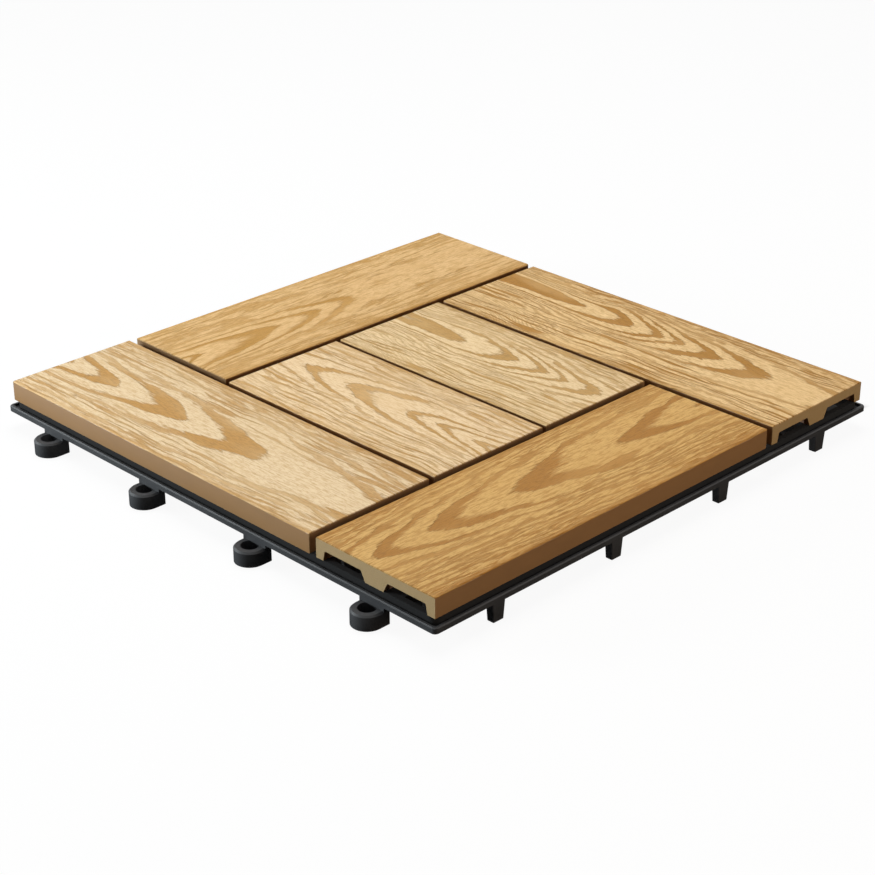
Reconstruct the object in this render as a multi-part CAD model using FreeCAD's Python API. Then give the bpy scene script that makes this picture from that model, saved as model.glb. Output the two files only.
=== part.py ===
import FreeCAD, Part
import math
import os

# Interlocking deck tile. Six wood-plastic boards lie in a pinwheel on one moulded plastic base.
# Four long boards chase each other round the rim and two short ones fill the middle. The base is
# an open grid on cross-shaped feet, with eyelets on two sides that take the pegs of the next tile.
# Screws driven up from below hold the boards down.
# Frame: X and Y along the tile's sides, Z up, origin on the ground below the middle of the tile.
# All lengths are in millimetres.

# The tile as a module
tile_size = 300.0            # outer face of the lip to outer face of the lip
tile_height = 25.0           # ground to walking surface
board_inset = 2.4            # boards stop this far inside the lip's outer face

# Boards: one extrusion, cut to two lengths
board_thickness = 10.0
side_gap = 3.0               # long side of an outer board to the nearest centre board
centre_gap = 2.3             # between the two centre boards
pinwheel_gap = 4.4           # end of an outer board to the side of the next one
centre_end_gap = 4.2         # end of a centre board to the side of an outer board
deck_plate = 5.0             # walking plate above the two channels
leg_foot_width = 4.4         # side leg, where it stands on the base
leg_root_width = 5.4         # side leg, where it joins the plate
keel_foot_width = 11.0       # middle leg, which takes the screws
keel_root_width = 16.0
edge_radius = 0.8            # top edges of the board
channel_radius = 1.0         # corners of the channels

# Rim of the base
lip_clearance = 9.3          # ground to the underside of the lip and of the ribs
lip_height = 2.9
lip_width = 1.6
lip_corner_radius = 2.2
lip_edge_bevel = 0.5
flange_thickness = 1.4       # floor of the groove between lip and seat
seat_inset = 0.4             # the seat wall stands this far inside the boards' faces
seat_width = 3.0
seat_corner_radius = 4.0

# Grid of the base
cells_per_side = 12
rib_top_width = 2.4
rib_foot_width = 1.8
foot_root_width = 16.0       # one bar of a cross-shaped foot, at the ribs
foot_tip_width = 11.0        # the same bar on the ground

# Screws and the pads that they pull on
screw_cells = 3              # cells from one screw to the next along a board
pad_thickness = 3.0
screw_radius = 1.75
screw_length = 10.0          # under the head
screw_tip_length = 2.5
screw_tip_radius = 0.35
screw_head_radius = 3.4
screw_head_height = 2.3
screw_face_radius = 2.4      # flat of the pan head
screw_face_bevel = 1.0       # height over which the head narrows to that flat
screw_sides = 10             # flats that stand in for the round, in screws and their holes
pilot_clearance = 0.05       # board hole round the screw
pad_hole_clearance = 0.3     # pad hole round the screw

# Pegs on two sides, eyelets on the other two
links_per_side = 4
peg_root_width = 7.6         # along the edge
peg_tip_width = 6.2
peg_root_depth = 4.3         # square to the edge
peg_tip_depth = 3.9
peg_corner_bevel = 0.3
peg_ground_gap = 0.3         # pegs stop short of the ground
peg_clearance = 0.1          # in the eyelet, at the peg's corners
tile_joint_gap = 0.35        # lip to lip between joined tiles
eyelet_wall = 3.2
eyelet_height = 7.3
eyelet_ground_gap = 0.4
eyelet_root_depth = 4.0      # how far the eyelet's root runs in under the flange
eyelet_root_radius = 1.0
eyelet_edge_bevel = 0.8

# Worked out from the sizes above
half_tile = tile_size / 2
half_deck = half_tile - board_inset
board_width = (2 * half_deck - 2 * side_gap - centre_gap) / 4
long_length = 2 * half_deck - board_width - pinwheel_gap
centre_length = 2 * (half_deck - board_width - centre_end_gap)
seat_top = tile_height - board_thickness
half_seat = half_deck - seat_inset
rib_pitch = tile_size / cells_per_side
link_pitch = tile_size / links_per_side
screw_pitch = screw_cells * rib_pitch
pad_underside = seat_top - pad_thickness
eyelet_top = eyelet_ground_gap + eyelet_height
peg_share = (eyelet_top - peg_ground_gap) / (lip_clearance - peg_ground_gap)
held_width = peg_tip_width + peg_share * (peg_root_width - peg_tip_width)
held_depth = peg_tip_depth + peg_share * (peg_root_depth - peg_tip_depth)
peg_reach = max(
    math.hypot(held_width / 2 - peg_corner_bevel, held_depth / 2),
    math.hypot(held_width / 2, held_depth / 2 - peg_corner_bevel))
eyelet_hole_radius = peg_reach + peg_clearance
eyelet_radius = eyelet_hole_radius + eyelet_wall
eyelet_offset = tile_joint_gap + peg_root_depth / 2
closest_points = 1e-6

up = FreeCAD.Vector(0, 0, 1)
centre = FreeCAD.Vector(0, 0, 0)


def outline(corners, height=0.0):
    """Closed wire in a level plane through (x, y, radius) corners, each rounded by its radius."""
    points = [FreeCAD.Vector(x, y, height) for x, y, radius in corners]
    arcs = []
    for index, (x, y, radius) in enumerate(corners):
        corner = points[index]
        back = (points[index - 1] - corner).normalize()
        ahead = (points[(index + 1) % len(points)] - corner).normalize()
        half_angle = back.getAngle(ahead) / 2
        reach = radius / math.tan(half_angle)
        inward = (back + ahead).normalize()
        middle = corner + inward * (radius / math.sin(half_angle) - radius)
        arcs.append((corner + back * reach, middle, corner + ahead * reach))
    edges = []
    for index, (start, middle, end) in enumerate(arcs):
        if start.distanceToPoint(end) > closest_points:
            edges.append(Part.Arc(start, middle, end).toShape())
        next_start = arcs[(index + 1) % len(arcs)][0]
        if end.distanceToPoint(next_start) > closest_points:
            edges.append(Part.makeLine(end, next_start))
    return Part.Wire(edges)


def rectangle(width, depth, height, radius=0.0):
    """Level rectangle about the Z axis, width along X and depth along Y."""
    x = width / 2
    y = depth / 2
    return outline([(-x, -y, radius), (x, -y, radius), (x, y, radius), (-x, y, radius)], height)


def block(wire, height):
    return Part.Face(wire).extrude(up * height)


def square_slab(half_side, bottom, top, radius=0.0):
    return block(rectangle(2 * half_side, 2 * half_side, bottom, radius), top - bottom)


def between(lower, upper):
    """Flat-sided solid between two level outlines that have as many points."""
    faces = [Part.Face(Part.makePolygon(ends + ends[:1])) for ends in (lower, upper)]
    for index, (low, high) in enumerate(zip(lower, upper)):
        side = [lower[index - 1], low, high, upper[index - 1], lower[index - 1]]
        faces.append(Part.Face(Part.makePolygon(side)))
    solid = Part.Solid(Part.Shell(faces))
    if solid.Volume < 0:
        solid.reverse()
    return solid


def bevelled_corners(width, depth, height, bevel):
    """Points of a level rectangle about the Z axis, its corners cut off by the bevel."""
    x = width / 2
    y = depth / 2
    points = []
    for across, along in ((-1, -1), (1, -1), (1, 1), (-1, 1)):
        cuts = [(x - bevel, y), (x, y - bevel)] if bevel else [(x, y)]
        if across * along > 0:
            cuts.reverse()
        points += [FreeCAD.Vector(across * a, along * b, height) for a, b in cuts]
    return points


def tapered_post(root, tip, root_height, tip_height, bevel=0.0):
    """Upright post between two (width, depth) sections."""
    return between(bevelled_corners(*tip, tip_height, bevel), bevelled_corners(*root, root_height, bevel))


def ring(radius, height):
    """Points round the Z axis, for the small round things."""
    turns = [2 * math.pi * index / screw_sides for index in range(screw_sides)]
    return [FreeCAD.Vector(radius * math.cos(turn), radius * math.sin(turn), height) for turn in turns]


def pin(radius, bottom, top):
    return between(ring(radius, bottom), ring(radius, top))


def moved(shape, x=0.0, y=0.0, z=0.0):
    copy = shape.copy()
    copy.translate(FreeCAD.Vector(x, y, z))
    return copy


def turned(shape, quarter_turns):
    """The shape turned about the tile's middle, a quarter turn at a time."""
    copy = shape.copy()
    copy.rotate(centre, up, 90 * quarter_turns)
    return copy


def bevelled(shape, bevel, chosen):
    """Chamfer on every edge that the test picks."""
    return shape.makeChamfer(bevel, [edge for edge in shape.Edges if chosen(edge)])


def lies_at(height):
    """Test for edges that lie flat at one height."""
    def test(edge):
        box = edge.BoundBox
        return abs(box.ZMin - height) < closest_points and abs(box.ZMax - height) < closest_points
    return test


def cell_middle(distance):
    """Middle of the grid cell that holds this distance from the tile's middle."""
    return (math.floor(distance / rib_pitch) + 0.5) * rib_pitch


# Boards


def board_section():
    """Cross-section: a plate on two side legs and a keel, drawn with its foot on the X axis."""
    half = board_width / 2
    ceiling = board_thickness - deck_plate
    leg_foot = half - leg_foot_width
    leg_root = half - leg_root_width
    keel_foot = keel_foot_width / 2
    keel_root = keel_root_width / 2
    right_side = [
        (keel_foot, 0, 0), (keel_root, ceiling, channel_radius), (leg_root, ceiling, channel_radius),
        (leg_foot, 0, 0), (half, 0, 0), (half, board_thickness, edge_radius),
    ]
    left_side = [(-x, y, radius) for x, y, radius in reversed(right_side)]
    return outline(right_side + left_side)


def board(start, length, offset, screw_places):
    """Board along X from start, at an offset in Y, with a pilot hole at each screw."""
    bar = block(board_section(), length)
    bar.rotate(centre, FreeCAD.Vector(1, 1, 1), 120)
    bar = moved(bar, start, offset, seat_top)
    pilot_top = pad_underside + screw_length + pilot_clearance
    pilot = pin(screw_radius + pilot_clearance, seat_top, pilot_top)
    return bar.cut([moved(pilot, x, y) for x, y in screw_places])


def screw_row(first, count, offset):
    """Screw places along X, a fixed number of cells apart, on a board's middle line."""
    return [(cell_middle(first) + index * screw_pitch, offset) for index in range(count)]


long_offset = board_width / 2 - half_deck
centre_offset = (centre_gap + board_width) / 2
long_screws = screw_row(rib_pitch - half_tile, 3, long_offset)
centre_screws = screw_row(-screw_pitch / 2, 2, 0)


def long_board(quarter_turns):
    """Outer board. It starts flush at one corner and stops short of the next board."""
    return turned(board(-half_deck, long_length, long_offset, long_screws), quarter_turns)


def centre_board(side):
    """Centre board, on the side of the middle line that its sign gives."""
    places = [(x, side * centre_offset) for x, y in centre_screws]
    return board(-centre_length / 2, centre_length, side * centre_offset, places)


def at_screws(shape):
    """Copies of a shape at every screw, each turned with the board that the screw holds."""
    copies = [turned(moved(shape, x, y), turn) for turn in range(4) for x, y in long_screws]
    for side in (-1, 1):
        copies += [moved(shape, x, side * centre_offset) for x, y in centre_screws]
    return copies


# Screws


def screw():
    """Pan-head screw standing on its head at the origin."""
    shank_top = screw_head_height + screw_length - screw_tip_length
    tip = screw_head_height + screw_length
    face = between(ring(screw_face_radius, 0), ring(screw_head_radius, screw_face_bevel))
    rest = [
        pin(screw_head_radius, screw_face_bevel, screw_head_height),
        pin(screw_radius, screw_head_height, shank_top),
        between(ring(screw_radius, shank_top), ring(screw_tip_radius, tip)),
    ]
    return face.multiFuse(rest)


def screws():
    """Every screw, its head against the underside of its pad."""
    return Part.makeCompound(at_screws(moved(screw(), z=pad_underside - screw_head_height)))


# Base


def rim():
    """Lip, groove and seat wall, all the way round."""
    lip_top = lip_clearance + lip_height
    groove_floor = lip_clearance + flange_thickness
    flange = square_slab(half_tile, lip_clearance, lip_top, lip_corner_radius)
    flange = bevelled(flange, lip_edge_bevel, lies_at(lip_top))
    groove_radius = lip_corner_radius - lip_width
    flange = flange.cut(square_slab(half_tile - lip_width, groove_floor, lip_top, groove_radius))
    seat = square_slab(half_seat, lip_clearance, seat_top, seat_corner_radius)
    inside = square_slab(half_seat - seat_width, lip_clearance, seat_top)
    return flange.fuse(seat).cut(inside)


def rib_lines():
    """Distances of the ribs from the middle of the tile."""
    count = int((half_seat - seat_width) / rib_pitch)
    return [index * rib_pitch for index in range(-count, count + 1)]


def ribs():
    """Drafted ribs both ways, from seat wall to seat wall."""
    half_length = half_seat - seat_width / 2
    top = rib_top_width / 2
    foot = rib_foot_width / 2
    depth = seat_top - lip_clearance
    section = outline([(-foot, 0, 0), (foot, 0, 0), (top, depth, 0), (-top, depth, 0)])
    bar = block(section, 2 * half_length)
    bar.rotate(centre, FreeCAD.Vector(1, 1, 1), 120)
    along_x = [moved(bar, -half_length, line, lip_clearance) for line in rib_lines()]
    return along_x + [turned(rib, 1) for rib in along_x]


def feet():
    """Cross-shaped feet where the ribs cross, at every second crossing of each row, staggered."""
    bar = tapered_post(
        (foot_root_width, rib_foot_width), (foot_tip_width, rib_foot_width), lip_clearance, 0)
    cross = bar.fuse(turned(bar, 1)).removeSplitter()
    lines = rib_lines()
    return [
        moved(cross, x, y) for row, y in enumerate(lines) for column, x in enumerate(lines)
        if (row - column) % 2 == 0
    ]


def pads():
    """Plates that close the cells in which the screws stand."""
    plate = block(rectangle(rib_pitch, rib_pitch, pad_underside), pad_thickness)
    holes = [hole.CenterOfMass for hole in pad_holes()]
    return [moved(plate, cell_middle(hole.x), cell_middle(hole.y)) for hole in holes]


def pad_holes():
    return at_screws(pin(screw_radius + pad_hole_clearance, pad_underside, seat_top))


def link_places():
    """Distances of pegs and eyelets along a side."""
    return [(index - (links_per_side - 1) / 2) * link_pitch for index in range(links_per_side)]


def peg():
    """Tapered peg below the lip of the side that faces -Y, its outer face flush with the lip."""
    post = tapered_post(
        (peg_root_width, peg_root_depth), (peg_tip_width, peg_tip_depth),
        lip_clearance, peg_ground_gap, peg_corner_bevel)
    return moved(post, 0, peg_root_depth / 2 - half_tile)


def eyelet():
    """Eyelet on the side that faces -Y: a round nose, straight sides and a neck up to the flange."""
    nose = eyelet_offset + eyelet_radius
    plan = [
        (-eyelet_radius, -half_tile - nose, eyelet_radius),
        (eyelet_radius, -half_tile - nose, eyelet_radius),
        (eyelet_radius, eyelet_root_depth - half_tile, eyelet_root_radius),
        (-eyelet_radius, eyelet_root_depth - half_tile, eyelet_root_radius),
    ]
    lug = block(outline(plan, eyelet_ground_gap), eyelet_height)
    lug = bevelled(lug, eyelet_edge_bevel, lies_at(eyelet_top))
    neck_plan = [
        (-eyelet_radius, -half_tile, 0), (eyelet_radius, -half_tile, 0),
        (eyelet_radius, eyelet_root_depth - half_tile, eyelet_root_radius),
        (-eyelet_radius, eyelet_root_depth - half_tile, eyelet_root_radius),
    ]
    neck = block(outline(neck_plan, eyelet_ground_gap), lip_clearance - eyelet_ground_gap)
    return lug.fuse(neck)


def eyelet_hole():
    """Hole through the eyelet, which stops under the neck."""
    axis_foot = FreeCAD.Vector(0, -half_tile - eyelet_offset, eyelet_ground_gap)
    return Part.makeCylinder(eyelet_hole_radius, eyelet_height, axis_foot)


def along_sides(shape, sides):
    """Copies at every link place of the sides given, counted in quarter turns from -Y."""
    row = [moved(shape, place) for place in link_places()]
    return [turned(copy, side) for side in sides for copy in row]


def base():
    """The moulding: rim, ribs, feet, pads, pegs towards +X and +Y, eyelets towards -Y and -X."""
    peg_sides = (1, 2)
    eyelet_sides = (0, 3)
    added = ribs() + feet() + pads()
    added += along_sides(peg(), peg_sides)
    added += along_sides(eyelet(), eyelet_sides)
    body = rim().multiFuse(added)
    body = body.cut(pad_holes() + along_sides(eyelet_hole(), eyelet_sides))
    return body.removeSplitter()


def main():
    parts = {
        "base_grid": base(),
        "board_front": long_board(0),
        "board_right": long_board(1),
        "board_back": long_board(2),
        "board_left": long_board(3),
        "centre_board_front": centre_board(-1),
        "centre_board_back": centre_board(1),
        "screws": screws(),
    }
    os.makedirs("parts", exist_ok=True)
    for name, shape in parts.items():
        shape.exportStep("parts/" + name + ".step")
        print(name, "solids", len(shape.Solids), "valid", shape.isValid(), "volume", round(shape.Volume))


main()
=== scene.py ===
import bpy
import math
from dataclasses import dataclass
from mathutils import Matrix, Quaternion, Vector


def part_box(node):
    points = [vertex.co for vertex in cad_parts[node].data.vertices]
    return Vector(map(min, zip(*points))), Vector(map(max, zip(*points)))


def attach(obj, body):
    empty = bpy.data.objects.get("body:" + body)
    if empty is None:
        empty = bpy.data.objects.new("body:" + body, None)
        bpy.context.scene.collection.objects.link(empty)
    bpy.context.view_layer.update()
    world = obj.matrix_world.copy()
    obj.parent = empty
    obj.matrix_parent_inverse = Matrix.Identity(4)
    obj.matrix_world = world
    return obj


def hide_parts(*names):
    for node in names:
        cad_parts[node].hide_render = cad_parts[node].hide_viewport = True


# Looks of the interlocking deck tile: wood-plastic boards on a black plastic grid.
# Lengths are in metres, as in the frame, apart from those whose names hold mm.
# A name that ends in marks_mm is the length and width of a noise's marks along a board, and one
# that ends in specks_mm is their size in X, Y and Z. A name that ends in step or step_mm is the pair
# of values between which a smooth step goes from 0 to 1. A name that ends in grow is a least value
# and how much more is added at most.

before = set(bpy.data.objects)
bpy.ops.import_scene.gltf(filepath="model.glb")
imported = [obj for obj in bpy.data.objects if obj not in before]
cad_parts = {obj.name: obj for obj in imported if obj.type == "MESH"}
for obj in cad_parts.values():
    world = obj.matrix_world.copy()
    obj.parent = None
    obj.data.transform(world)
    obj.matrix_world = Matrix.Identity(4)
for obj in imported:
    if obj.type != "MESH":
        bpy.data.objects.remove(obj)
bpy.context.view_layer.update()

# The photograph's camera, found by fitting the boards' corners
camera_azimuth = 45.222      # degrees; 0 looks along +Y
camera_elevation = 26.132
camera_roll = -0.083
camera_distance = 0.95607
camera_target = (0.04478, -0.04405, 0.025)
camera_lens_mm = 84.66
sensor_width_mm = 36.0

# Lamps: place, size, power in watts and colour
lamps = {
    "side_light": ((-0.80, -0.85, 0.24), 0.5, 17.0, (0.86, 0.95, 1.0)),
    "top_light": ((-0.20, 0.15, 1.25), 0.8, 11.35, (1.0, 1.0, 1.0)),
    "warm_fill": ((1.10, 0.20, 0.30), 0.5, 4.3, (1.0, 0.79, 0.60)),
    "under_light": ((0.0, 0.0, -0.90), 0.24, 6.0, (1.0, 1.0, 1.0)),
}
sky_tint = (1.0, 0.99, 0.975, 1.0)
sky_strength = 0.15
sky_height = 0.5             # the sky shines from the directions whose Z is above this

# The floor as the camera sees it
floor_half = 6.0
floor_white = 0.93           # share of plain white in it
floor_tone = (0.95, 0.95, 0.95, 1.0)
floor_roughness = 0.9
shade_tone = (0.03, 0.03, 0.03, 1.0)    # below the tile
near_shade_step_mm = (134.0, 139.0)     # where that shade ends on the front and right sides
left_shade_step_mm = (147.0, 166.0)
back_shade_step_mm = (158.0, 175.0)

# The floor as it lights the tile: not at all from close by, and grey further off
black = (0.0, 0.0, 0.0, 1.0)
bounce_tone = (0.42, 0.42, 0.42, 1.0)
bounce_step_mm = (160.0, 215.0)

# The floor as the tile mirrors it: white at the left end of the front, and dark on the right
mirror_left_mm = -190.0      # X where the front boards' sides mirror it fully
mirror_right_mm = 152.0      # and where they mirror it least
mirror_least = 0.22
mirror_near_step_mm = (-159.0, -167.0)  # Y; nothing closer to the tile is mirrored
lip_mirror_mm = -172.0       # Y; the front lip mirrors the strip from here to the tile
lip_mirror_step_mm = (40.0, mirror_right_mm)
lip_mirror_grow = (0.08, 0.66)
right_strip_mm = (166.0, 175.0)     # X of the strip that the right lip mirrors
right_strip_share = 0.14

# Smooth shading
smooth_angle = math.radians(28)
screw_smooth_angle = math.radians(40)
weld_distance = 1e-6

# Screws, inside the CAD solids' outline
screw_head_radius = 0.00335
screw_head_height = 0.0023
screw_head_rings = (         # share of the head's radius, and height above its face
    (0.62, 0.0), (0.72, 0.00005), (0.84, 0.0003), (0.93, 0.0007), (0.98, 0.0012), (1.0, 0.0017),
    (1.0, 0.0022), (0.97, screw_head_height))
screw_shank_radius = 0.00170
screw_tip_length = 0.0025
screw_tip_share = 0.2        # of the shank's radius, at the very tip
screw_rows = 44              # rings along the shank
screw_steps = 24             # points round each ring
screw_reach = 0.008          # CAD points closer together than this are on one screw
thread_pitch = 0.0012
thread_depth = 0.00035
thread_flank = 3.0           # how fast the thread falls off to its root
thread_end_share = 0.25      # of the shank's radius, where the thread ends
recess_half_length = 0.0019
recess_half_width = 0.00042
recess_depth = 0.0013
recess_taper = 0.7


class Nodes:
    """A node tree. Every call adds a node and gives its result."""

    def __init__(self, tree):
        self.tree = tree

    def put(self, socket, value):
        if isinstance(value, bpy.types.NodeSocket):
            self.tree.links.new(value, socket)
        else:
            socket.default_value = value

    def node(self, kind, settings=None, **inputs):
        node = self.tree.nodes.new("ShaderNode" + kind)
        for key, value in (settings or {}).items():
            setattr(node, key, value)
        for key, value in inputs.items():
            self.put(node.inputs[key.replace("_", " ")], value)
        return node

    def maths(self, operation, *values):
        node = self.node("Math", {"operation": operation})
        for socket, value in zip(node.inputs, values):
            self.put(socket, value)
        return node.outputs[0]

    def add(self, a, b):
        return self.maths("ADD", a, b)

    def times(self, a, b):
        return self.maths("MULTIPLY", a, b)

    def larger(self, a, b):
        return self.maths("MAXIMUM", a, b)

    def grow(self, value, least_and_more):
        """The least where the value is 0, and the least and the more together where it is 1."""
        least, more = least_and_more
        return self.add(self.times(value, more), least)

    def shift(self, noise, amount):
        """The noise as a shift to both sides, of half the amount at most."""
        return self.times(self.add(noise, -0.5), amount)

    def step(self, value, low, high):
        """0 at low, 1 at high and smooth between."""
        node = self.node("MapRange", {"interpolation_type": "SMOOTHSTEP"}, Value=value, From_Min=low,
                         From_Max=high)
        return node.outputs[0]

    def mix(self, factor, a, b):
        """Number that goes from a to b."""
        node = self.node("Mix", {"data_type": "FLOAT"})
        for index, value in ((0, factor), (2, a), (3, b)):
            self.put(node.inputs[index], value)
        return node.outputs[0]

    def blend(self, factor, a, b, kind="MIX"):
        """Colour that goes from a to b, or to both multiplied."""
        node = self.node("Mix", {"data_type": "RGBA", "blend_type": kind})
        for index, value in ((0, factor), (6, a), (7, b)):
            self.put(node.inputs[index], value)
        return node.outputs[2]

    def layer(self, share, lower, upper):
        """Surface that goes from the lower to the upper."""
        node = self.node("MixShader")
        for socket, value in zip(node.inputs, (share, lower, upper)):
            self.put(socket, value)
        return node.outputs[0]

    def place_mm(self):
        """The surface point's coordinates in the frame, in millimetres."""
        position = self.node("TexCoord").outputs["Object"]
        scaled = self.node("VectorMath", {"operation": "SCALE"}, Vector=position, Scale=1000.0)
        return self.node("SeparateXYZ", Vector=scaled.outputs[0]).outputs

    def from_middle(self, x, y):
        """Distance from the tile's middle along X or Y, whichever is larger."""
        return self.larger(self.maths("ABSOLUTE", x), self.maths("ABSOLUTE", y))

    def noise(self, x, y, z, detail, roughness):
        vector = self.node("CombineXYZ", X=x, Y=y, Z=z).outputs[0]
        node = self.node("TexNoise", Vector=vector, Scale=1.0, Detail=detail, Roughness=roughness)
        return node.outputs["Fac"]

    def marks(self, along, across, size_mm, seed, detail=2.0, roughness=0.5):
        """Noise whose marks have this length and width on a board."""
        length, width = size_mm
        return self.noise(self.times(along, 1 / length), self.times(across, 1 / width), seed, detail,
                          roughness)

    def specks(self, place, size_mm, detail=2.0, roughness=0.5):
        """Noise whose specks have this size in X, Y and Z."""
        x, y, z = (self.times(value, 1 / size) for value, size in zip(place, size_mm))
        return self.noise(x, y, z, detail, roughness)

    def curve(self, value, points):
        """Smooth curve through (x, y) points that all lie between 0 and 1."""
        node = self.node("FloatCurve", Value=value)
        line = node.mapping.curves[0]
        line.points[0].location = points[0]
        line.points[1].location = points[-1]
        for x, y in points[1:-1]:
            line.points.new(x, y)
        for point in line.points:
            point.handle_type = "AUTO_CLAMPED"
        node.mapping.update()
        return node.outputs[0]


class Shader(Nodes):
    """One material's nodes."""

    def __init__(self, name):
        self.material = bpy.data.materials.new(name)
        self.material.use_nodes = True
        super().__init__(self.material.node_tree)
        self.surface = self.tree.nodes["Principled BSDF"]

    def bump(self, height, depth):
        node = self.node("Bump", Height=height, Distance=depth)
        self.put(self.surface.inputs["Normal"], node.outputs[0])

    def finish(self, tone, roughness, **constants):
        self.put(self.surface.inputs["Base Color"], tone)
        self.put(self.surface.inputs["Roughness"], roughness)
        for key, value in constants.items():
            self.put(self.surface.inputs[key.replace("_", " ")], value)
        return self.material


def colour(red, green, blue):
    """Linear colour from the 0 to 255 values that a screen shows."""
    def linear(value):
        value /= 255
        return value / 12.92 if value <= 0.04045 else ((value + 0.055) / 1.055) ** 2.4
    return (linear(red), linear(green), linear(blue), 1.0)


def toned(tone, shares):
    """The colour with its red, green and blue each multiplied by a share."""
    return tuple(value * share for value, share in zip(tone, shares)) + (1.0,)


# Figure of the boards

most_rings = 34.0
past_end_mm = 560.0          # the rings go on this far past the board's end
flare_reach_mm = 8.0         # the arches run out straight beyond about this distance to the side
flare_share = 0.40           # of the board's length, over which the flare fades out
drift_marks_mm = (45, 16)
drift_mm = 9.0               # sideways
ragged_marks_mm = (5.0, 0.9)
ragged_mm = 9.0              # lengthways
outer_step_mm = (6.0, 22.0)  # off the crown, where the bands wander and fray more
wander_marks_mm = (30, 6)
wander_grow = (0.25, 0.9)    # in rings
fray_marks_mm = (8, 0.8)
fray_grow = (0.4, 0.6)       # in shares of the board's own fray
break_marks_mm = (20, 3.0)
break_step_mm = (4.0, 15.0)  # off the crown, where the bands break up more
break_grow = (0.15, 0.8)
narrowing = 0.003            # of the bands, in rings for each millimetre off the crown
outer_softness = 0.8         # of a band's outer edge, as a share of the inner edge's
line_marks_mm = (38, 1.7)
line_step = (0.53, 0.60)
line_side_step_mm = (8.0, 20.0)     # off the crown, where the straight lines set in
line_room = 0.5              # how much the arches fade among the lines
upper_shade_step_mm = (18.0, 36.0)
lower_shade_step_mm = (20.0, 36.0)


@dataclass
class Grain:
    """One board's embossed figure: nested arches, one to a ring, and its colours."""

    from_far_end: bool       # distances along the board start at the end with the higher coordinate
    crown_mm: tuple          # the line that the arches' tips lie on: how far off the middle at both ends
    first_ring: int          # number of the first arch's ring
    start_ring: float        # ring at the start of the board
    arches_mm: tuple         # how far along the board each arch has its tip
    end_ring: float          # ring at the end of the board
    spacing_mm: float        # from ring to ring past that end
    above: tuple             # how far a leg runs back for each millimetre off the crown, and for each
    below: tuple             # millimetre squared, on the two sides of the crown
    flare: float             # how much further the legs run back near the start
    dark_share: float        # share of a ring that is dark
    softness: float          # of the bands' edges, in rings
    fray: float              # of the bands' edges, in rings
    lines: float             # strength of the straight lines beside the arches
    shade: tuple             # darkening towards the two long edges
    strokes: float           # strength of the short dark strokes
    light: tuple             # colour of the light wood
    dark: tuple
    seed: int                # for the noises


grains = {
    "board_front": Grain(
        from_far_end=False, crown_mm=(-1.5, -4.5), first_ring=3, start_ring=1.9, arches_mm=(43, 96, 155),
        end_ring=5.30, spacing_mm=46, above=(0.5, 0.20), below=(0.5, 0.20), flare=2.0, dark_share=0.46,
        softness=0.05, fray=0.4, lines=0.85, shade=(0.7, 0.1), strokes=0.25,
        light=colour(234, 209, 168), dark=colour(187, 139, 67), seed=3),
    "board_right": Grain(
        from_far_end=True, crown_mm=(4, 5), first_ring=3, start_ring=1.9, arches_mm=(63, 132, 184, 216),
        end_ring=6.1, spacing_mm=40, above=(0.8, 0.15), below=(0.8, 0.15), flare=2.0, dark_share=0.44,
        softness=0.09, fray=0.5, lines=0.6, shade=(0.5, 0.6), strokes=0.45,
        light=colour(211, 168, 96), dark=colour(162, 108, 14), seed=11),
    "board_back": Grain(
        from_far_end=False, crown_mm=(14, 4), first_ring=2, start_ring=1.55,
        arches_mm=(60, 95, 116, 129, 154, 186), end_ring=7.3, spacing_mm=30, above=(0.4, 0.17),
        below=(0.4, 0.14), flare=15.0, dark_share=0.44, softness=0.05, fray=0.4, lines=1.0,
        shade=(0.7, 0.1), strokes=0.25, light=colour(236, 201, 144), dark=colour(167, 115, 22), seed=23),
    "board_left": Grain(
        from_far_end=False, crown_mm=(-5, -1), first_ring=3, start_ring=2.2, arches_mm=(13, 64, 94, 125),
        end_ring=6.0, spacing_mm=34, above=(0.7, 0.13), below=(0.7, 0.12), flare=4.0, dark_share=0.42,
        softness=0.13, fray=0.5, lines=0.7, shade=(0.2, 0.3), strokes=0.35,
        light=colour(226, 187, 129), dark=colour(183, 134, 50), seed=37),
    "centre_board_front": Grain(
        from_far_end=True, crown_mm=(3, 5), first_ring=2, start_ring=1.55,
        arches_mm=(13, 39, 59, 102, 133), end_ring=6.2, spacing_mm=28, above=(0.9, 0.19),
        below=(0.9, 0.17), flare=3.0, dark_share=0.36, softness=0.06, fray=0.9, lines=1.0,
        shade=(0.4, 0.1), strokes=0.3, light=colour(239, 211, 168), dark=colour(195, 149, 80), seed=51),
    "centre_board_back": Grain(
        from_far_end=False, crown_mm=(9, 8), first_ring=2, start_ring=1.55,
        arches_mm=(48, 83, 104, 118, 140), end_ring=6.1, spacing_mm=28, above=(0.5, 0.19),
        below=(0.5, 0.17), flare=11.0, dark_share=0.40, softness=0.05, fray=0.6, lines=1.0,
        shade=(0.6, 0.1), strokes=0.25, light=colour(238, 210, 163), dark=colour(187, 144, 75), seed=67),
}


def legs_back(shader, side, leg, flare):
    """How far an arch runs back from its tip at this distance off the crown."""
    flared = shader.times(shader.maths("DIVIDE", side, shader.add(side, flare_reach_mm)), flare)
    return shader.times(side, shader.add(shader.grow(side, leg), flared))


def ring_number(shader, grain, length_mm, place):
    """Ring at this place along the crown, by a curve through the arches' tips."""
    total_mm = length_mm + past_end_mm
    last_ring = grain.end_ring + past_end_mm / grain.spacing_mm
    points = [(0.0, grain.start_ring / most_rings)]
    for index, tip_mm in enumerate(grain.arches_mm):
        points.append((tip_mm / total_mm, (grain.first_ring + index) / most_rings))
    points.append((length_mm / total_mm, grain.end_ring / most_rings))
    points.append((1.0, last_ring / most_rings))
    return shader.times(shader.curve(shader.times(place, 1 / total_mm), points), most_rings)


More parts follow.
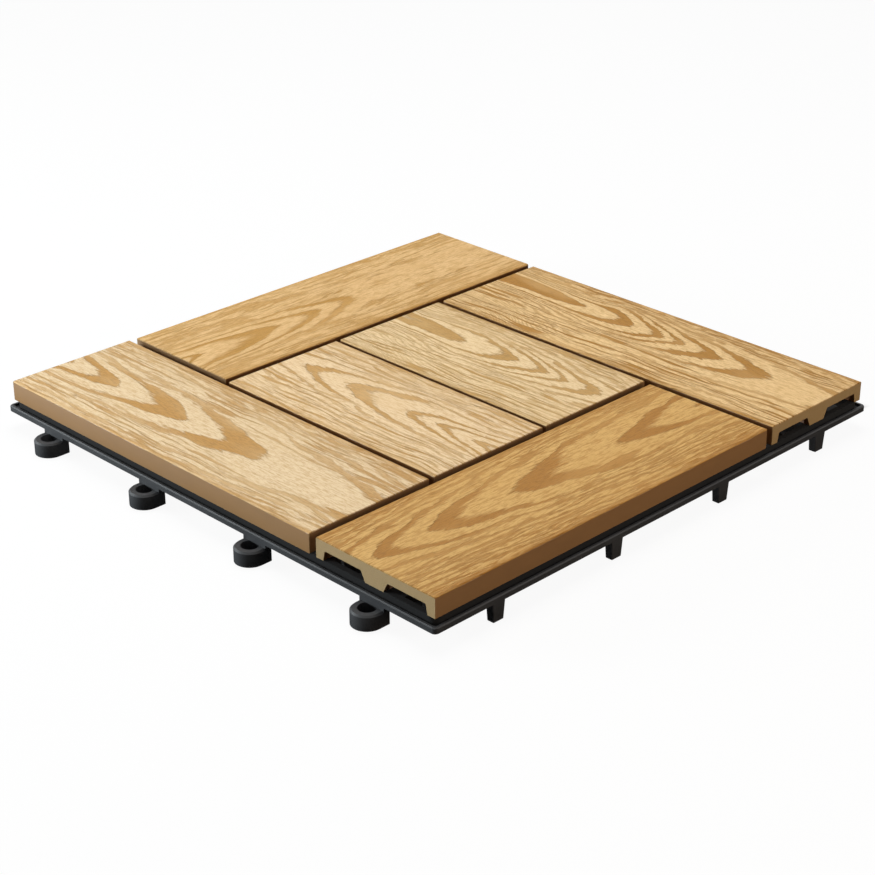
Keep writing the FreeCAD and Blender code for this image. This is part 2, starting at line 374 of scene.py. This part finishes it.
def dark_bands(shader, grain, rings, light_part):
    """0 in the light first part of every ring, and 1 in the dark rest."""
    part = shader.maths("FRACT", rings)
    dark_from = shader.step(shader.maths("SUBTRACT", part, light_part), -grain.softness, grain.softness)
    dark_to = shader.step(shader.maths("SUBTRACT", 1.0, part), 0.0, grain.softness * outer_softness)
    return shader.times(dark_from, dark_to)


def figure(shader, grain, length_mm, along, across):
    """Embossed figure: 1 in the dark bands and 0 in the light wood between them."""
    drift = shader.marks(along, across, drift_marks_mm, grain.seed)
    across = shader.add(across, shader.shift(drift, drift_mm))
    crown_from, crown_to = grain.crown_mm
    crown = shader.grow(along, (crown_from, (crown_to - crown_from) / length_mm))
    from_crown = shader.maths("SUBTRACT", across, crown)
    above = shader.larger(from_crown, 0.0)
    below = shader.larger(shader.times(from_crown, -1.0), 0.0)
    side = shader.larger(above, below)
    ragged = shader.marks(along, across, ragged_marks_mm, grain.seed + 1.0, 3.0)
    place = shader.add(along, shader.shift(ragged, ragged_mm))
    flare = shader.times(shader.step(along, length_mm * flare_share, 0.0), grain.flare)
    place = shader.add(place, legs_back(shader, above, grain.above, flare))
    place = shader.add(place, legs_back(shader, below, grain.below, flare))
    rings = ring_number(shader, grain, length_mm, place)
    outer = shader.step(side, *outer_step_mm)
    wander = shader.marks(along, across, wander_marks_mm, grain.seed + 2.0)
    rings = shader.add(rings, shader.shift(wander, shader.grow(outer, wander_grow)))
    fray = shader.marks(along, across, fray_marks_mm, grain.seed + 7.0, 3.0)
    most_fray = shader.grow(outer, [share * grain.fray for share in fray_grow])
    rings = shader.add(rings, shader.shift(fray, most_fray))
    broken = shader.marks(along, across, break_marks_mm, grain.seed + 3.0)
    most_broken = shader.grow(shader.step(side, *break_step_mm), break_grow)
    light_part = shader.grow(side, (1 - grain.dark_share, narrowing))
    light_part = shader.add(light_part, shader.shift(broken, most_broken))
    arches = dark_bands(shader, grain, rings, light_part)
    among_lines = shader.step(side, *line_side_step_mm)
    arches = shader.times(arches, shader.grow(among_lines, (1.0, -line_room * grain.lines)))
    lines = shader.marks(along, across, line_marks_mm, grain.seed + 8.0, 1.5)
    lines = shader.times(shader.step(lines, *line_step), shader.times(among_lines, grain.lines))
    return shader.larger(arches, lines)


def side_shade(shader, grain, across):
    """Darker, closely lined wood towards the board's long edges."""
    above, below = grain.shade
    upper = shader.times(shader.step(across, *upper_shade_step_mm), above)
    lower = shader.times(shader.step(shader.times(across, -1.0), *lower_shade_step_mm), below)
    return shader.add(upper, lower)


# Colours and surface of the boards

streak_marks_mm = (4.5, 0.85)
stroke_marks_mm = (9, 1.3)
cloud_marks_mm = (55, 18)
fleck_step = (0.45, 0.62)
stroke_step = (0.50, 0.60)
cloud_step = (0.42, 0.72)
light_fleck = 0.46           # how far the flecks in the light wood go to the dark tone
dark_fleck = 0.62            # and those in the dark wood to the deep tone
deep_shares = (0.66, 0.66, 0.66)
warm_shares = (0.92, 0.85, 0.72)
warm_most = 0.35
shade_most = 0.35
edge_most = 0.6
edge_from_mm = 3.5           # inside the long edges, where their darkening starts
edge_full_mm = 1.0
top_from_mm = 0.75           # below the walking surface, where its look starts
top_full_mm = 0.45

body_brown = colour(154, 114, 69)
brown_shares = (0.80, 0.80, 0.80)
mottle_specks_mm = (14, 14, 5)
cut_tan = colour(176, 145, 94)
cut_shares = (0.72, 0.72, 0.72)
grit_specks_mm = (0.5, 0.5, 0.5)
end_depth_mm = 0.05          # a sawn end is this deep
gap_shade_shares = (0.62, 0.48, 0.34, 1.0)    # painted shade in the gaps: how much of their colour the walls keep there
outer_wall_mm = 0.4          # walls this close to the deck's outer faces aren't in a gap and get no painted shade

grain_depth = 0.00058
band_relief = -0.8           # in shares of that depth
streak_relief = 0.55
grit_relief = 0.4
top_rough_grow = (0.66, 0.18)
side_rough_grow = (0.30, 0.10)
end_rough = 0.25             # more, on the sawn ends
board_specular = 0.7


def top_colour(shader, grain, along, across, band, streaks, half_width_mm):
    """Colour of the embossed top: light and dark wood with flecks, strokes and darker edges."""
    shade = side_shade(shader, grain, across)
    edge = shader.step(shader.maths("ABSOLUTE", across), half_width_mm - edge_from_mm,
                       half_width_mm - edge_full_mm)
    strokes = shader.marks(along, across, stroke_marks_mm, grain.seed + 6.0, 3.0)
    cloud = shader.marks(along, across, cloud_marks_mm, grain.seed + 5.0)
    fleck = shader.step(streaks, *fleck_step)
    stroke = shader.times(shader.step(strokes, *stroke_step), shader.add(shade, grain.strokes))
    light = shader.blend(shader.times(fleck, light_fleck), grain.light, grain.dark)
    light = shader.blend(stroke, light, grain.dark)
    light = shader.blend(shader.times(shade, shade_most), light, grain.dark)
    light = shader.blend(shader.times(edge, edge_most), light, grain.dark)
    dark = shader.blend(shader.times(fleck, dark_fleck), grain.dark, toned(grain.dark, deep_shares))
    top = shader.blend(band, light, dark)
    warmth = shader.times(shader.step(cloud, *cloud_step), warm_most)
    return shader.blend(warmth, top, toned(grain.light, warm_shares))


def side_colour(shader, x, y, mottle, grit, on_end):
    """Colour below the top: plain brown sides and sawn ends, both with painted shade in the gaps."""
    plain = shader.blend(mottle, body_brown, toned(body_brown, brown_shares))
    sawn = shader.blend(grit, cut_tan, toned(cut_tan, cut_shares))
    sides = shader.blend(on_end, plain, sawn)
    deck_mm = 1000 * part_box("board_right")[1].x
    # Painted shade: the walls in the gaps between the boards are darkened, as little light reaches them
    # there.
    in_gap_shade = shader.maths("LESS_THAN", shader.from_middle(x, y), deck_mm - outer_wall_mm)
    return shader.blend(in_gap_shade, sides, gap_shade_shares, "MULTIPLY")


def board_material(node, grain):
    """Wood-plastic composite: two-tone embossed top, plain satin sides and sawn ends."""
    shader = Shader(node + "_look")
    x, y, z = place = shader.place_mm()
    low, high = (corner * 1000 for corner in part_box(node))
    middle = (low + high) / 2
    size = high - low
    if size.x > size.y:
        length_mm = size.x
        along = shader.add(x, -low.x)
        across = shader.add(y, -middle.y)
    else:
        length_mm = size.y
        along = shader.add(y, -low.y)
        across = shader.add(shader.times(x, -1.0), middle.x)
    rest = shader.maths("SUBTRACT", length_mm, along)
    on_end = shader.maths("LESS_THAN", shader.maths("MINIMUM", along, rest), end_depth_mm)
    if grain.from_far_end:
        along = rest
    band = figure(shader, grain, length_mm, along, across)
    streaks = shader.marks(along, across, streak_marks_mm, grain.seed + 4.0, 4.0, 0.7)
    mottle = shader.specks(place, mottle_specks_mm, 4.0)
    grit = shader.specks(place, grit_specks_mm, 3.0, 0.7)
    top = top_colour(shader, grain, along, across, band, streaks, min(size.x, size.y) / 2)
    sides = side_colour(shader, x, y, mottle, grit, on_end)
    on_top = shader.step(z, high.z - top_from_mm, high.z - top_full_mm)
    relief = shader.add(shader.times(band, band_relief), shader.times(streaks, streak_relief))
    relief = shader.times(relief, on_top)
    relief = shader.add(relief, shader.times(shader.times(grit, on_end), grit_relief))
    shader.bump(relief, grain_depth)
    side_rough = shader.add(shader.grow(mottle, side_rough_grow), shader.times(on_end, end_rough))
    roughness = shader.mix(on_top, side_rough, shader.grow(streaks, top_rough_grow))
    return shader.finish(shader.blend(on_top, sides, top), roughness, Specular_IOR_Level=board_specular)


# Plastic and steel

plastic_dark = colour(37, 38, 40)
plastic_light = colour(50, 51, 53)
plastic_fleck = colour(66, 67, 69)
plastic_fleck_step = (0.55, 0.8)
plastic_cloud_specks_mm = (22, 22, 9)
plastic_texture_specks_mm = (0.35, 0.35, 0.35)
plastic_texture_depth = 0.00005
plastic_rough_grow = (0.42, 0.22)
plastic_specular = 0.38
recess_painted_shade = colour(14, 14, 14)   # painted shade on the plastic under the boards near the tile's edge, which is also made dull there
painted_shade_step_mm = (100.0, 108.0)     # from the tile's middle, where the painted shade sets in
painted_shade_end_mm = 148.3
painted_shade_height_step_mm = (9.0, 12.0)
steel_light = colour(205, 203, 196)
steel_dark = colour(168, 165, 158)
steel_specks_mm = (1.2, 1.2, 1.2)
steel_scuff_depth = 0.00003
steel_rough_grow = (0.22, 0.25)


def plastic_material():
    """Black moulded plastic: fine spark-eroded texture, slow changes of sheen, and painted shade under the
    boards near the tile's edge.
    """
    shader = Shader("base_plastic_look")
    x, y, z = place = shader.place_mm()
    cloud = shader.specks(place, plastic_cloud_specks_mm, 3.0)
    texture = shader.specks(place, plastic_texture_specks_mm)
    tone = shader.blend(cloud, plastic_dark, plastic_light)
    tone = shader.blend(shader.step(texture, *plastic_fleck_step), tone, plastic_fleck)
    # Painted shade: the plastic under the boards near the tile's edge, from 9 to 12 mm up, is darkened and
    # made fully rough.
    reach = shader.from_middle(x, y)
    in_painted_shade = shader.step(reach, *painted_shade_step_mm)
    in_painted_shade = shader.times(in_painted_shade, shader.maths("LESS_THAN", reach, painted_shade_end_mm))
    in_painted_shade = shader.times(in_painted_shade, shader.step(z, *painted_shade_height_step_mm))
    tone = shader.blend(in_painted_shade, tone, recess_painted_shade)
    shader.bump(texture, plastic_texture_depth)
    roughness = shader.larger(shader.grow(cloud, plastic_rough_grow), in_painted_shade)
    return shader.finish(tone, roughness, Specular_IOR_Level=plastic_specular)


def steel_material():
    """Zinc-plated screw steel with a faint yellow cast and scuffs."""
    shader = Shader("screw_steel_look")
    scuffs = shader.specks(shader.place_mm(), steel_specks_mm, 4.0)
    shader.bump(scuffs, steel_scuff_depth)
    tone = shader.blend(scuffs, steel_light, steel_dark)
    return shader.finish(tone, shader.grow(scuffs, steel_rough_grow), Metallic=1.0)


def shade_smooth(piece, angle=smooth_angle):
    """Modifier that shades curved walls smooth and keeps edges sharper than the angle."""
    tree = bpy.data.node_groups.new(piece.name + "_smooth", "GeometryNodeTree")
    tree.is_modifier = True
    for direction in ("INPUT", "OUTPUT"):
        tree.interface.new_socket("Geometry", in_out=direction, socket_type="NodeSocketGeometry")
    start = tree.nodes.new("NodeGroupInput")
    weld = tree.nodes.new("GeometryNodeMergeByDistance")
    weld.inputs["Distance"].default_value = weld_distance
    faces = tree.nodes.new("GeometryNodeSetShadeSmooth")
    edges = tree.nodes.new("GeometryNodeSetShadeSmooth")
    edges.domain = "EDGE"
    turn = tree.nodes.new("GeometryNodeInputMeshEdgeAngle")
    gentle = tree.nodes.new("FunctionNodeCompare")
    gentle.operation = "LESS_THAN"
    gentle.inputs["B"].default_value = angle
    end = tree.nodes.new("NodeGroupOutput")
    links = (
        (start.outputs[0], weld.inputs["Geometry"]), (weld.outputs[0], faces.inputs["Geometry"]),
        (faces.outputs[0], edges.inputs["Geometry"]), (turn.outputs["Unsigned Angle"], gentle.inputs["A"]),
        (gentle.outputs[0], edges.inputs["Shade Smooth"]), (edges.outputs[0], end.inputs[0]),
    )
    for source, target in links:
        tree.links.new(source, target)
    piece.modifiers.new("smooth", "NODES").node_group = tree


def dress(node, material):
    """Gives a CAD node its material and smooth shading."""
    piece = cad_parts[node]
    piece.data.materials.clear()
    piece.data.materials.append(material)
    shade_smooth(piece)


# Screws


def shank_rings(low, high):
    """Radius and height of rings from the head up to the point, without the thread."""
    neck = low + screw_head_height
    rings = [(screw_shank_radius, neck)]
    for row in range(1, screw_rows + 1):
        height = neck + (high - neck) * row / screw_rows
        taper = min(1.0, (high - height) / screw_tip_length)
        rings.append((screw_shank_radius * max(taper, screw_tip_share), height))
    return rings


def threaded(radius, rise, turn):
    """Radius with the thread cut in, at this rise above the head's face and share of a turn."""
    phase = (rise / thread_pitch - turn) % 1.0
    return radius - thread_depth * min(1.0, abs(phase - 0.5) * thread_flank)


def add_recess(points, faces, x, y, low):
    """Adds the cross recess, and the head's face between it and the screw's first ring."""
    arm = [
        (recess_half_length, -recess_half_width), (recess_half_length, recess_half_width),
        (recess_half_width, recess_half_width),
    ]
    cross = []
    for quarter in range(4):
        for u, v in arm:
            for turn in range(quarter):
                u, v = -v, u
            cross.append((u, v))
    first = len(points)
    count = len(cross)
    points += [(x + u, y + v, low) for u, v in cross]
    points += [(x + u * recess_taper, y + v * recess_taper, low + recess_depth) for u, v in cross]
    for index in range(count):
        a = first + index
        b = first + (index + 1) % count
        faces.append((a, a + count, b + count, b))
    faces.append([first + count + index for index in range(count)])
    per_quarter = screw_steps // 4
    middle = per_quarter // 2
    for quarter in range(4):
        arm_a = first + quarter * len(arm)
        arm_b = arm_a + 1
        inner = arm_a + 2
        next_a = first + (quarter + 1) % 4 * len(arm)
        around = [(quarter * per_quarter + step) % screw_steps for step in range(per_quarter + 1)]
        for left, right in zip(around[:middle], around[1:middle + 1]):
            faces.append((arm_b, right, left))
        faces.append((arm_b, inner, around[middle]))
        faces.append((inner, next_a, around[middle]))
        for left, right in zip(around[middle:-1], around[middle + 1:]):
            faces.append((next_a, right, left))
        faces.append((arm_a, arm_b, around[0]))


def screw_shape(x, y, low, high):
    """Points and faces of one pan-head screw with a cross recess, its head down."""
    head = [(screw_head_radius * share, low + rise) for share, rise in screw_head_rings]
    rings = head + shank_rings(low, high)
    points = []
    for index, (radius, height) in enumerate(rings):
        has_thread = index > len(head) and radius > screw_shank_radius * thread_end_share
        for step in range(screw_steps):
            turn = step / screw_steps
            reach = threaded(radius, height - low, turn) if has_thread else radius
            angle = 2 * math.pi * turn
            points.append((x + reach * math.cos(angle), y + reach * math.sin(angle), height))
    faces = []
    for ring in range(len(rings) - 1):
        for step in range(screw_steps):
            a = ring * screw_steps + step
            b = ring * screw_steps + (step + 1) % screw_steps
            faces.append((a, b, b + screw_steps, a + screw_steps))
    faces.append([(len(rings) - 1) * screw_steps + step for step in range(screw_steps)])
    add_recess(points, faces, x, y, low)
    return points, faces


def screw_places(node):
    """Middle of every screw in the CAD node, by grouping the points that lie close together."""
    groups = []
    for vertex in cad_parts[node].data.vertices:
        point = tuple(vertex.co[:2])
        for group in groups:
            if math.dist(group[0], point) < screw_reach:
                group.append(point)
                break
        else:
            groups.append([point])
    places = []
    for group in groups:
        xs, ys = zip(*group)
        places.append(((min(xs) + max(xs)) / 2, (min(ys) + max(ys)) / 2))
    return places


def make_screws(material):
    """All screws as one piece, which takes the place of the CAD node."""
    low, high = (corner.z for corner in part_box("screws"))
    points = []
    faces = []
    for x, y in screw_places("screws"):
        more_points, more_faces = screw_shape(x, y, low, high)
        faces += [[index + len(points) for index in face] for face in more_faces]
        points += more_points
    mesh = bpy.data.meshes.new("screw_set")
    mesh.from_pydata(points, [], faces)
    mesh.validate()
    mesh.materials.append(material)
    piece = bpy.data.objects.new("screw_set", mesh)
    bpy.context.scene.collection.objects.link(piece)
    shade_smooth(piece, screw_smooth_angle)
    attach(piece, "root")
    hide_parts("screws")


# Stage, light and camera


def floor_outside(shader, x, y):
    """0 on the floor below the tile, and 1 beyond its shade."""
    near_side = shader.larger(x, shader.times(y, -1.0))
    near = shader.step(near_side, *near_shade_step_mm)
    left = shader.step(shader.times(x, -1.0), *left_shade_step_mm)
    back = shader.step(y, *back_shade_step_mm)
    return shader.larger(shader.larger(near, left), shader.times(back, back))


def floor_mirrored(shader, x, y):
    """How white the floor is where the tile mirrors it."""
    boards = shader.node("MapRange", Value=x, From_Min=mirror_right_mm, From_Max=mirror_left_mm,
                         To_Min=mirror_least, To_Max=1.0).outputs[0]
    lip = shader.grow(shader.step(x, *lip_mirror_step_mm), lip_mirror_grow)
    front = shader.mix(shader.maths("GREATER_THAN", y, lip_mirror_mm), boards, lip)
    front = shader.times(front, shader.maths("LESS_THAN", x, mirror_right_mm))
    front = shader.times(front, shader.step(y, *mirror_near_step_mm))
    strip_from, strip_to = right_strip_mm
    strip = shader.times(shader.maths("GREATER_THAN", x, strip_from),
                         shader.maths("LESS_THAN", x, strip_to))
    return shader.larger(front, shader.times(strip, right_strip_share))


def floor_material():
    """White floor that keeps a soft shadow and can be looked through from below."""
    shader = Shader("floor_white")
    x, y = shader.place_mm()[:2]
    rays = shader.node("LightPath").outputs
    seen = shader.larger(rays["Is Camera Ray"], rays["Is Transmission Ray"])
    mirrored = rays["Is Glossy Ray"]
    outside = floor_outside(shader, x, y)
    bounce = shader.blend(shader.step(shader.from_middle(x, y), *bounce_step_mm), black, bounce_tone)
    unseen = shader.blend(mirrored, bounce, black)
    tone = shader.blend(seen, unseen, shader.blend(outside, shade_tone, floor_tone))
    material = shader.finish(tone, floor_roughness, Specular_IOR_Level=0.0)
    seen_white = shader.times(shader.times(seen, floor_white), outside)
    mirrored_white = shader.times(mirrored, floor_mirrored(shader, x, y))
    white = shader.node("Emission", Color=(1.0, 1.0, 1.0, 1.0), Strength=1.0).outputs[0]
    above = shader.layer(shader.larger(seen_white, mirrored_white), shader.surface.outputs[0], white)
    backfacing = shader.node("NewGeometry").outputs["Backfacing"]
    open_way = shader.larger(backfacing, rays["Is Shadow Ray"])
    clear = shader.node("BsdfTransparent").outputs[0]
    output = shader.tree.nodes["Material Output"]
    shader.put(output.inputs["Surface"], shader.layer(open_way, above, clear))
    return material


def make_floor():
    corners = [(x * floor_half, y * floor_half, 0) for x, y in ((-1, -1), (1, -1), (1, 1), (-1, 1))]
    mesh = bpy.data.meshes.new("floor")
    mesh.from_pydata(corners, [], [(0, 1, 2, 3)])
    mesh.materials.append(floor_material())
    floor = bpy.data.objects.new("floor", mesh)
    bpy.context.scene.collection.objects.link(floor)


def make_world():
    """Faint light from above, seen and mirrored as plain white."""
    world = bpy.data.worlds.new("studio")
    world.use_nodes = True
    nodes = Nodes(world.node_tree)
    rays = nodes.node("LightPath").outputs
    seen = nodes.larger(rays["Is Camera Ray"], rays["Is Transmission Ray"])
    shown = nodes.larger(seen, rays["Is Glossy Ray"])
    way = nodes.node("TexCoord").outputs["Generated"]
    height = nodes.node("SeparateXYZ", Vector=way).outputs["Z"]
    sky = nodes.times(nodes.maths("GREATER_THAN", height, sky_height), sky_strength)
    background = world.node_tree.nodes["Background"]
    nodes.put(background.inputs["Color"], sky_tint)
    nodes.put(background.inputs["Strength"], nodes.larger(shown, sky))
    bpy.context.scene.world = world


def make_lamp(name, place, size, power, tint):
    """Square soft light that faces the tile."""
    data = bpy.data.lights.new(name, "AREA")
    data.size = size
    data.energy = power
    data.color = tint
    lamp = bpy.data.objects.new(name, data)
    lamp.location = place
    lamp.visible_camera = False
    lamp.rotation_mode = "QUATERNION"
    lamp.rotation_quaternion = (-Vector(place)).to_track_quat("-Z", "Y")
    bpy.context.scene.collection.objects.link(lamp)


def make_camera():
    azimuth = math.radians(camera_azimuth)
    elevation = math.radians(camera_elevation)
    back = Vector((math.sin(azimuth) * math.cos(elevation), -math.cos(azimuth) * math.cos(elevation),
                   math.sin(elevation)))
    data = bpy.data.cameras.new("camera")
    data.lens = camera_lens_mm
    data.sensor_width = sensor_width_mm
    camera = bpy.data.objects.new("camera", data)
    camera.location = Vector(camera_target) + back * camera_distance
    camera.rotation_mode = "QUATERNION"
    level = (-back).to_track_quat("-Z", "Y")
    camera.rotation_quaternion = Quaternion(back, math.radians(camera_roll)) @ level
    bpy.context.scene.collection.objects.link(camera)
    bpy.context.scene.camera = camera


def main():
    for node, grain in grains.items():
        dress(node, board_material(node, grain))
    dress("base_grid", plastic_material())
    make_screws(steel_material())
    make_floor()
    make_world()
    for name, (place, size, power, tint) in lamps.items():
        make_lamp(name, place, size, power, tint)
    make_camera()
    bpy.context.scene.view_settings.view_transform = "Standard"


main()
